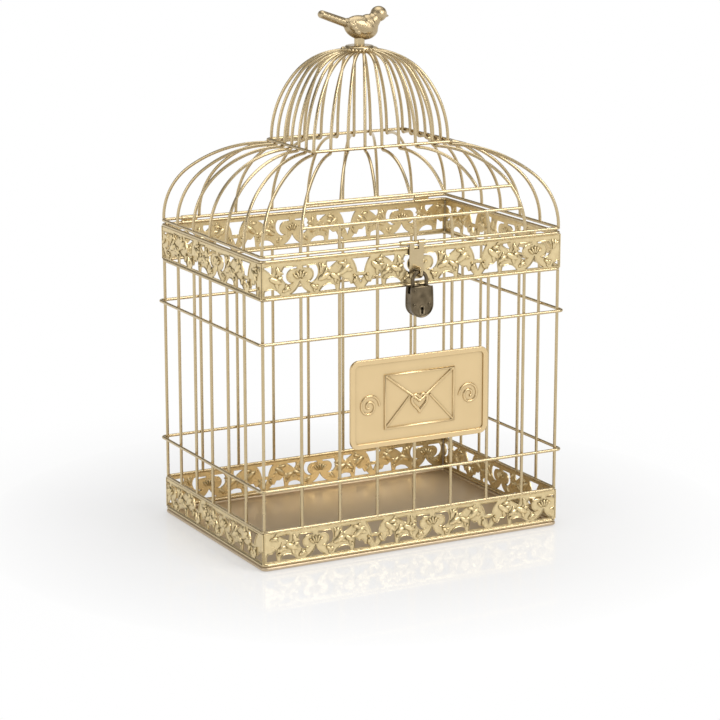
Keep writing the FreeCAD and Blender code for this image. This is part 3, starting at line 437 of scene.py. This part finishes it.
class CARDBOX_OT_lace(bpy.types.Operator):
    """Adds rolled rims and raised leaves to the lace strips"""
    bl_idname = "card_box.lace"
    bl_label = "Lace relief"

    def execute(self, context):
        settings = context.scene.card_box_lace
        for node, shift in LACE_SHIFTS.items():
            wall = node.rsplit("_", 1)[1]
            outward, along = WALLS[wall]
            rims = rolled_rims(node, outward, settings.rim)
            leaves = lace_leaves(node, shift, outward, along, settings)
            finish_piece(join([rims, *leaves]), node + "_relief", "cage", "gold_lace")
        return {"FINISHED"}


# Plaque emboss

# The envelope's size as shares of the plaque's, and how far its wires lie in front of the plaque's back, as a
# share of the plaque's depth
ENVELOPE_WIDTH = 0.50
ENVELOPE_HEIGHT = 0.60
EMBOSS_DEPTH = 0.45
# Radii of the raised wires
OUTLINE_RADIUS = 0.0013
FLAP_RADIUS = 0.0012
FOLD_RADIUS = 0.0010
# Places on the envelope run from -1 to 1 both ways
FLAP_TIP = -0.12
FOLD_END_ACROSS = 0.30
FOLD_END_LEVEL = 0.10
HEART_LEVEL = -0.14
HEART_WIDTH = 0.24
HEART_HEIGHT = 0.40
HEART_STEPS = 48
# The heart's curve reaches this far from its middle before it is scaled
HEART_REACH = 17
# A curl on each side of the envelope winds inwards by this many half turns
CURL_ACROSS = 1.46
CURL_LEVEL = -0.1
CURL_REACH = 0.30
CURL_STRETCH = 1.5
CURL_HALF_TURNS = 3.4
CURL_STEPS = 40
# The steps after which a curl would have closed to a point
CURL_CLOSING_STEPS = 46


def raised_envelope(on_face):
    """The envelope's outline, its flap and its two lower folds."""
    border = tube([on_face(-1, -1), on_face(1, -1), on_face(1, 1), on_face(-1, 1)], OUTLINE_RADIUS, True)
    flap = tube([on_face(-1, 1), on_face(0, FLAP_TIP), on_face(1, 1)], FLAP_RADIUS)
    folds = []
    for side in (-1, 1):
        fold_end = on_face(side * FOLD_END_ACROSS, FOLD_END_LEVEL)
        folds.append(tube([on_face(side, -1), fold_end], FOLD_RADIUS))
    return [border, flap, *folds]


def raised_heart(on_face):
    """A heart on the flap's tip."""
    points = []
    for step in range(HEART_STEPS):
        angle = 2 * math.pi * step / HEART_STEPS
        across = 16 * math.sin(angle) ** 3
        up = 13 * math.cos(angle) - 5 * math.cos(2 * angle) - 2 * math.cos(3 * angle) - math.cos(4 * angle)
        level = HEART_LEVEL + up / HEART_REACH * HEART_HEIGHT
        points.append(on_face(across / HEART_REACH * HEART_WIDTH, level))
    return tube(points, OUTLINE_RADIUS, True)


def raised_curl(on_face, side):
    """A curl beside the envelope."""
    points = []
    for step in range(CURL_STEPS):
        turn = CURL_HALF_TURNS * math.pi * step / (CURL_STEPS - 1)
        reach = CURL_REACH * (1 - step / CURL_CLOSING_STEPS)
        across = side * (CURL_ACROSS - reach * math.cos(turn))
        points.append(on_face(across, CURL_LEVEL + reach * CURL_STRETCH * math.sin(turn)))
    return tube(points, FOLD_RADIUS)


class CARDBOX_OT_plaque(bpy.types.Operator):
    """Adds a raised envelope with a heart and two curls to the plaque"""
    bl_idname = "card_box.plaque"
    bl_label = "Plaque emboss"

    def execute(self, context):
        low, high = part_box("plaque")
        middle = (low + high) / 2
        width = (high.x - low.x) * ENVELOPE_WIDTH
        height = (high.z - low.z) * ENVELOPE_HEIGHT
        face = high.y - (high.y - low.y) * EMBOSS_DEPTH

        def on_face(across, up):
            return Vector((middle.x + across * width / 2, face, middle.z + up * height / 2))

        pieces = raised_envelope(on_face)
        pieces.append(raised_heart(on_face))
        for side in (-1, 1):
            pieces.append(raised_curl(on_face, side))
        finish_piece(join(pieces), "plaque_emboss", "cage", "gold_plate")
        return {"FINISHED"}


# Bird

# Places and sizes are shares of the bird's length, width and height, and turns are in degrees
# Each ball of the trunk: place along, level, size and pitch
BIRD_TRUNK = {
    "body": (0.58, 0.38, (0.50, 1.00, 0.74), 12),
    "breast": (0.68, 0.42, (0.30, 0.90, 0.72), 0),
    "neck": (0.76, 0.58, (0.20, 0.72, 0.46), 0),
    "head": (0.845, 0.77, (0.225, 0.80, 0.48), 0),
    "rump": (0.42, 0.50, (0.34, 0.62, 0.30), 20),
}
BIRD_FACETS = (24, 16)
# The tail is a row of balls that get narrower and thicker from its end to its root
TAIL_END = (0.0, 0, 0.84)
TAIL_ROOT = (0.36, 0, 0.54)
TAIL_STEPS = 24
TAIL_BALL_LENGTH = 0.10
TAIL_WIDTH = 0.56
TAIL_NARROWING = 0.12
TAIL_HEIGHT = 0.25
TAIL_THICKENING = 0.03
TAIL_PITCH = 22
TAIL_FACETS = (16, 10)
BEAK_PLACE = (0.962, 0, 0.70)
BEAK_LENGTH = 0.075
BEAK_PITCH = 100
BEAK_FACETS = 20
# The beak's radii in metres
BEAK_ROOT_RADIUS = 0.0024
BEAK_TIP_RADIUS = 0.0003
WING_ALONG = 0.52
WING_OUT = 0.40
WING_LEVEL = 0.44
WING_SIZE = (0.40, 0.30, 0.40)
WING_PITCH = 16
WING_YAW = 6
# The feathers lie in rows, each with one feather fewer than the row above it
FEATHER_ROWS = 3
TOP_ROW_FEATHERS = 4
FEATHER_ALONG = 0.64
FEATHER_ALONG_STEP = 0.085
FEATHER_ALONG_ROW = 0.045
FEATHER_LEVEL = 0.56
FEATHER_LEVEL_STEP = 0.02
FEATHER_LEVEL_ROW = 0.13
FEATHER_OUT = 0.485
FEATHER_SIZE = (0.11, 0.08, 0.14)
FEATHER_PITCH = 30
EYE_ALONG = 0.885
EYE_OUT = 0.36
EYE_LEVEL = 0.83
EYE_SIZE = (0.040, 0.10, 0.085)
# The balls are fused to one skin with cells of this size in metres, then smoothed this often
SKIN_CELL = 0.00042
SKIN_SMOOTHING = 4


class BirdBox:
    """The bird's box in the frame, with places and sizes as shares of it"""

    def __init__(self):
        low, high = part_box("bird")
        self.low = low
        self.length = high.x - low.x
        self.height = high.z - low.z
        self.width = high.y - low.y

    def at(self, along, side, level):
        return Vector((self.low.x + along * self.length, side * self.width, self.low.z + level * self.height))

    def sized(self, long, wide, tall):
        return (long * self.length, wide * self.width, tall * self.height)

    def ball(self, place, size, pitch=0.0, yaw=0.0):
        turn = Euler((0, math.radians(pitch), math.radians(yaw)))
        return blob(self.at(*place), self.sized(*size), BIRD_FACETS, turn)


def bird_trunk(box):
    """The bird without its tail, beak, wings and eyes."""
    return [box.ball((along, 0, level), size, pitch) for along, level, size, pitch in BIRD_TRUNK.values()]


def bird_tail(box):
    """The tail, which widens to a square end."""
    end = box.at(*TAIL_END)
    root = box.at(*TAIL_ROOT)
    turn = Euler((0, math.radians(TAIL_PITCH), 0))
    pieces = []
    for step in range(TAIL_STEPS + 1):
        share = step / TAIL_STEPS
        wide = TAIL_WIDTH - TAIL_NARROWING * share
        tall = TAIL_HEIGHT + TAIL_THICKENING * share
        size = box.sized(TAIL_BALL_LENGTH, wide, tall)
        pieces.append(blob(end.lerp(root, share), size, TAIL_FACETS, turn))
    return pieces


def bird_beak(box):
    """A cone that points forward and a little down."""
    bpy.ops.mesh.primitive_cone_add(
        vertices=BEAK_FACETS, radius1=BEAK_ROOT_RADIUS, radius2=BEAK_TIP_RADIUS,
        depth=BEAK_LENGTH * box.length, location=box.at(*BEAK_PLACE),
        rotation=(0, math.radians(BEAK_PITCH), 0))
    return bpy.context.active_object


def bird_side(box, side):
    """The wing with its feathers and the eye on one side."""
    yaw = side * WING_YAW
    pieces = [box.ball((WING_ALONG, side * WING_OUT, WING_LEVEL), WING_SIZE, WING_PITCH, yaw)]
    for row in range(FEATHER_ROWS):
        for feather in range(TOP_ROW_FEATHERS - row):
            along = FEATHER_ALONG - FEATHER_ALONG_STEP * feather - FEATHER_ALONG_ROW * row
            level = FEATHER_LEVEL - FEATHER_LEVEL_STEP * feather - FEATHER_LEVEL_ROW * row
            pieces.append(box.ball((along, side * FEATHER_OUT, level), FEATHER_SIZE, FEATHER_PITCH, yaw))
    pieces.append(box.ball((EYE_ALONG, side * EYE_OUT, EYE_LEVEL), EYE_SIZE))
    return pieces


class CARDBOX_OT_bird(bpy.types.Operator):
    """Models the bird: body, head, beak, tail, eyes and scalloped wings"""
    bl_idname = "card_box.bird"
    bl_label = "Bird"

    def execute(self, context):
        box = BirdBox()
        pieces = [*bird_trunk(box), *bird_tail(box), bird_beak(box)]
        for side in (-1, 1):
            pieces.extend(bird_side(box, side))
        bird = join(pieces)
        skin = bird.modifiers.new("skin", "REMESH")
        skin.mode = "VOXEL"
        skin.voxel_size = SKIN_CELL
        bpy.ops.object.modifier_apply(modifier="skin")
        soften = bird.modifiers.new("soften", "SMOOTH")
        soften.iterations = SKIN_SMOOTHING
        bpy.ops.object.modifier_apply(modifier="soften")
        finish_piece(bird, "bird_sculpted", "lid", "gold_cast", ["bird"])
        return {"FINISHED"}


# Padlock

BEADING_RADIUS = 0.0006
# The wall that each of the padlock's plates faces
PADLOCK_PLATES = {"padlock_front_plate": "front", "padlock_back_plate": "back"}


class CARDBOX_OT_padlock(bpy.types.Operator):
    """Adds a rolled edge to the padlock's plates"""
    bl_idname = "card_box.padlock"
    bl_label = "Padlock"

    def execute(self, context):
        pieces = []
        for node, wall in PADLOCK_PLATES.items():
            outward = WALLS[wall][0]
            pieces.append(rolled_rims(node, outward, BEADING_RADIUS))
        finish_piece(join(pieces), "padlock_beading", "padlock", "antique_bronze")
        return {"FINISHED"}


# Welds

# Sizes and places of the welds and the solder are multiples of the wire's thickness
WELD_SIZE = 0.95
SOLDER_OUT = 0.2
SOLDER_LEVEL = 0.9
SOLDER_LENGTH = 1.9
SOLDER_WIDTH = 1.35
# The solder's height varies round the crown in a few waves
SOLDER_HEIGHT = 1.3
SOLDER_WAVE_HEIGHT = 0.25
SOLDER_WAVES = 5
WELD_FACETS = (8, 6)


def weld_spots(wire):
    """A small nugget where each bar crosses each ring."""
    size = (wire * WELD_SIZE, wire * WELD_SIZE, wire * WELD_SIZE)
    pieces = []
    for wall, gaps in WALL_GAPS.items():
        outward, along = WALLS[wall]
        low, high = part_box(wall + "_bars")
        middle = (low + high) / 2
        span = abs((high - low).dot(along)) - wire
        for ring in ("lower_ring", "upper_ring"):
            level = (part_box(ring)[0].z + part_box(ring)[1].z) / 2
            for bar in range(gaps - 1):
                across = span * (bar / (gaps - 2) - 0.5)
                place = middle + along * across + outward * wire / 2
                place.z = level
                pieces.append(blob(place, size, WELD_FACETS))
    return pieces


def crown_solder(wire):
    """Solder between the rib ends, round the crown button's foot."""
    low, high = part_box("crown_button")
    reach = (high.x - low.x) / 2 + wire * SOLDER_OUT
    pieces = []
    for rib in range(RIB_COUNT):
        angle = 2 * math.pi * rib / RIB_COUNT
        place = Vector((reach * math.sin(angle), -reach * math.cos(angle), low.z + wire * SOLDER_LEVEL))
        height = SOLDER_HEIGHT + SOLDER_WAVE_HEIGHT * math.sin(SOLDER_WAVES * angle)
        size = (wire * SOLDER_LENGTH, wire * SOLDER_WIDTH, wire * height)
        pieces.append(blob(place, size, WELD_FACETS, Euler((0, 0, angle - math.pi / 2))))
    return pieces


class CARDBOX_OT_welds(bpy.types.Operator):
    """Adds weld nuggets where the bars cross the rings, and solder round the crown button"""
    bl_idname = "card_box.welds"
    bl_label = "Welds"

    def execute(self, context):
        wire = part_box("lower_ring")[1].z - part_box("lower_ring")[0].z
        finish_piece(join(weld_spots(wire)), "weld_spots", "cage", "gold_paint")
        finish_piece(join(crown_solder(wire)), "crown_solder", "lid", "gold_paint")
        return {"FINISHED"}


# Stage

FLOOR_SIZE = 12
FLOOR_DROP = 0.0005
FLOOR_TONE = 0.92
FLOOR_ROUGHNESS = 0.05
# The floor's gloss, and between which distances from the box's middle it ends
FLOOR_GLOSS = 0.9
GLOSS_START = 0.18
GLOSS_END = 0.30
# Between which distances the floor fades to white, and how white it is at the start
FADE_START = 0.13
FADE_END = 0.42
FADE_START_SHARE = 0.4
# The studio's brightness by height, from 0 at the horizon to 1 overhead
STUDIO_STOPS = ((0.0, 1.0), (0.16, 1.0), (0.34, 0.16), (0.62, 0.20), (0.88, 0.85))
# Each lamp's place, size and power
LAMPS = {
    "key": ((0.8, -1.6, 1.3), 1.0, 21),
    "left_fill": ((-1.8, -0.4, 0.8), 0.8, 5),
    "top": ((0.1, 0.2, 2.0), 1.6, 13),
}
LAMP_TARGET = (0, 0, 0.18)
CAMERA_SENSOR = 36
CAMERA_NEAR = 0.01


def area_light(name, place, target, size, power):
    bpy.ops.object.light_add(type="AREA", location=place)
    light = bpy.context.active_object
    light.name = name
    light.data.size = size
    light.data.energy = power
    light.rotation_euler = (Vector(target) - Vector(place)).to_track_quat("-Z", "Y").to_euler()
    return light


def floor_material():
    """A pale glossy floor round the box that fades to plain white further out."""
    material, nodes, links, shader = new_material("floor")
    shader.inputs["Base Color"].default_value = (FLOOR_TONE, FLOOR_TONE, FLOOR_TONE, 1)
    shader.inputs["Roughness"].default_value = FLOOR_ROUGHNESS
    place = nodes.new("ShaderNodeTexCoord")
    reach = nodes.new("ShaderNodeVectorMath")
    reach.operation = "LENGTH"
    links.new(place.outputs["Object"], reach.inputs[0])
    # The gloss ends near the box, which keeps the lamps' mirror images off most of the floor
    gloss = mapped(nodes, links, reach.outputs["Value"], GLOSS_START, GLOSS_END, FLOOR_GLOSS, 0.0)
    links.new(gloss.outputs["Result"], shader.inputs["Specular IOR Level"])
    fade = mapped(nodes, links, reach.outputs["Value"], FADE_START, FADE_END, FADE_START_SHARE, 1.0)
    fade.interpolation_type = "SMOOTHSTEP"
    white = nodes.new("ShaderNodeEmission")
    white.inputs["Color"].default_value = (1, 1, 1, 1)
    mix = nodes.new("ShaderNodeMixShader")
    links.new(fade.outputs["Result"], mix.inputs["Fac"])
    links.new(shader.outputs["BSDF"], mix.inputs[1])
    links.new(white.outputs["Emission"], mix.inputs[2])
    links.new(mix.outputs["Shader"], nodes["Material Output"].inputs["Surface"])
    return material


def studio_world():
    """A studio round the box: white near the horizon, dim above it and a soft light overhead."""
    world = bpy.data.worlds.new("studio")
    world.use_nodes = True
    nodes = world.node_tree.nodes
    links = world.node_tree.links
    place = nodes.new("ShaderNodeTexCoord")
    split = nodes.new("ShaderNodeSeparateXYZ")
    links.new(place.outputs["Generated"], split.inputs["Vector"])
    ramp = nodes.new("ShaderNodeValToRGB")
    while len(ramp.color_ramp.elements) < len(STUDIO_STOPS):
        ramp.color_ramp.elements.new(1.0)
    for stop, (height, strength) in zip(ramp.color_ramp.elements, STUDIO_STOPS):
        stop.position = height
        stop.color = (strength, strength, strength, 1)
    links.new(split.outputs["Z"], ramp.inputs["Fac"])
    links.new(ramp.outputs["Color"], nodes["Background"].inputs["Color"])
    return world


def stage_floor():
    """A wide floor just under the box."""
    bpy.ops.mesh.primitive_plane_add(size=FLOOR_SIZE, location=(0, 0, cad_low.z - FLOOR_DROP))
    floor = bpy.context.active_object
    floor.name = "floor"
    floor.data.materials.append(floor_material())
    return floor


def stage_camera(settings):
    """A camera that looks at the target from an azimuth, an elevation and a distance."""
    azimuth = math.radians(settings.azimuth)
    elevation = math.radians(settings.elevation)
    back = Vector((math.sin(azimuth) * math.cos(elevation), -math.cos(azimuth) * math.cos(elevation),
                   math.sin(elevation)))
    target = Vector((settings.target_across, 0, settings.target_level))
    bpy.ops.object.camera_add(location=target + back * settings.distance)
    camera = bpy.context.active_object
    camera.rotation_euler = (-back).to_track_quat("-Z", "Y").to_euler()
    camera.data.sensor_width = CAMERA_SENSOR
    camera.data.lens = settings.lens
    camera.data.clip_start = CAMERA_NEAR
    return camera


class CARDBOX_OT_stage(bpy.types.Operator):
    """Sets the floor, the light and the camera"""
    bl_idname = "card_box.stage"
    bl_label = "Stage"

    def execute(self, context):
        stage_floor()
        context.scene.world = studio_world()
        for name, (place, size, power) in LAMPS.items():
            area_light(name, place, LAMP_TARGET, size, power)
        context.scene.camera = stage_camera(context.scene.card_box_stage)
        context.scene.view_settings.view_transform = "Standard"
        return {"FINISHED"}


class CARDBOX_PT_panel(bpy.types.Panel):
    """The card box's settings and steps"""
    bl_label = "Card Box"
    bl_idname = "CARDBOX_PT_panel"
    bl_space_type = "VIEW_3D"
    bl_region_type = "UI"
    bl_category = "Card Box"

    def draw(self, context):
        layout = self.layout
        scene = context.scene
        for group in (scene.card_box_lace, scene.card_box_paint, scene.card_box_stage):
            column = layout.column(align=True)
            for name in group.bl_rna.properties.keys():
                if name not in ("rna_type", "name"):
                    column.prop(group, name)
        for step in STEPS:
            layout.operator(step)


STEPS = (
    "card_box.paint", "card_box.lace", "card_box.plaque", "card_box.bird", "card_box.padlock",
    "card_box.welds", "card_box.stage",
)
CLASSES = (
    LaceSettings, PaintSettings, StageSettings, CARDBOX_OT_paint, CARDBOX_OT_lace, CARDBOX_OT_plaque,
    CARDBOX_OT_bird, CARDBOX_OT_padlock, CARDBOX_OT_welds, CARDBOX_OT_stage, CARDBOX_PT_panel,
)


def register():
    for item in CLASSES:
        bpy.utils.register_class(item)
    bpy.types.Scene.card_box_lace = bpy.props.PointerProperty(type=LaceSettings)
    bpy.types.Scene.card_box_paint = bpy.props.PointerProperty(type=PaintSettings)
    bpy.types.Scene.card_box_stage = bpy.props.PointerProperty(type=StageSettings)


def unregister():
    del bpy.types.Scene.card_box_lace
    del bpy.types.Scene.card_box_paint
    del bpy.types.Scene.card_box_stage
    for item in reversed(CLASSES):
        bpy.utils.unregister_class(item)


def main():
    register()
    bpy.ops.card_box.paint()
    bpy.ops.card_box.lace()
    bpy.ops.card_box.plaque()
    bpy.ops.card_box.bird()
    bpy.ops.card_box.padlock()
    bpy.ops.card_box.welds()
    bpy.ops.card_box.stage()


if __name__ == "__main__":
    main()
